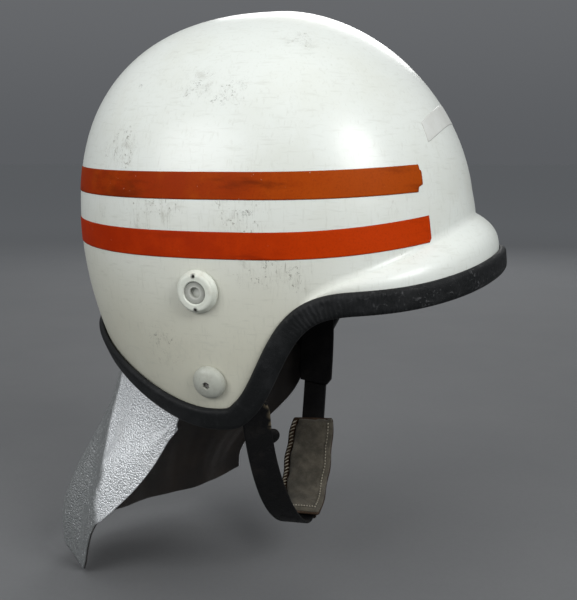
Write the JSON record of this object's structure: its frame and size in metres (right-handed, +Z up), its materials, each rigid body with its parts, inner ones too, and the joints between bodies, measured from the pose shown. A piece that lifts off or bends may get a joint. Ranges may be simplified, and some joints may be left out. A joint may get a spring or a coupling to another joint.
{
  "type": "fire helmet",
  "caption": "Open-face fire helmet: glass-fibre shell with a short peak, rubber edge trim, marking stripes, visor sockets, padded lining, neck curtain and leather chin strap with pad",
  "frame": {"origin": "middle of the shell at its widest level, where the brow band holds the head", "axes": "+X to the front of the helmet, +Y to the wearer's left, +Z up"},
  "size_m": [0.3241, 0.247, 0.3964],
  "materials": {
    "shell_white": "satin off-white lacquer on glass fibre, scuffed",
    "black_rubber": "satin, fine cross wrinkles",
    "stripe_amber": "satin marking tape, worn",
    "stripe_red": "satin marking tape, worn",
    "label_white": "satin tape, bare",
    "liner_foam": "dark cloth-covered foam",
    "cushion_cloth": "matt dark cloth",
    "band_leather": "worn brown leather",
    "pad_cloth": "matt black",
    "socket_white": "satin off-white",
    "insert_grey": "matt grey",
    "cap_white": "off-white enamel with small rust chips",
    "steel": "dull zinc plate",
    "strap_leather": "black, worn at the edges",
    "pad_leather": "dark brown, stitched",
    "buckle_steel": "nickel plate, dull",
    "felt": "beige-grey felt, soiled",
    "silver_cloth": "aluminised, pebbled",
    "lining_cloth": "matt brown cloth"
  },
  "bodies": {
    "helmet": {"shell": "shell_white", "edge_trim": "black_rubber", "upper_stripe": "stripe_amber", "lower_stripe": "stripe_red", "front_label": "label_white", "impact_liner": "liner_foam", "crown_cushion": "cushion_cloth", "brow_band": "band_leather", "ear_pad_right": "pad_cloth", "ear_pad_left": "pad_cloth", "visor_socket_right": "socket_white", "visor_socket_left": "socket_white", "socket_insert_right": "insert_grey", "socket_insert_left": "insert_grey", "strap_cap_right": "cap_white", "strap_cap_left": "cap_white", "strap_screw_right": "steel", "strap_screw_left": "steel", "pivot_sleeve_right": "steel", "pivot_sleeve_left": "steel", "pivot_nut_right": "steel", "pivot_nut_left": "steel", "neck_curtain": "silver_cloth", "curtain_lining": "lining_cloth", "curtain_studs": "steel"},
    "chin_strap": {"strap_right": "strap_leather", "strap_left": "strap_leather", "strap_guard": "strap_leather", "strap_tab": "pad_leather", "pad_loops": "pad_leather", "keeper_loop": "strap_leather", "buckle_frame": "buckle_steel", "chin_pad_back": "pad_leather", "chin_pad_felt": "felt"},
    "prong": {"buckle_prong": "buckle_steel"}
  },
  "joints": [
    {"name": "chin_strap_swing", "type": "hinge", "parent": "helmet", "child": "chin_strap", "pos_m": [-0.0235, 0, -0.0975], "axis": [0, -1, 0], "range_deg": [-20, 40]},
    {"name": "prong_open", "type": "hinge", "parent": "chin_strap", "child": "prong", "pos_m": [0.00745, 0.03612, -0.20801], "axis": [0.9978, 0.0522, 0.0414], "range_deg": [0, 60]}
  ]
}
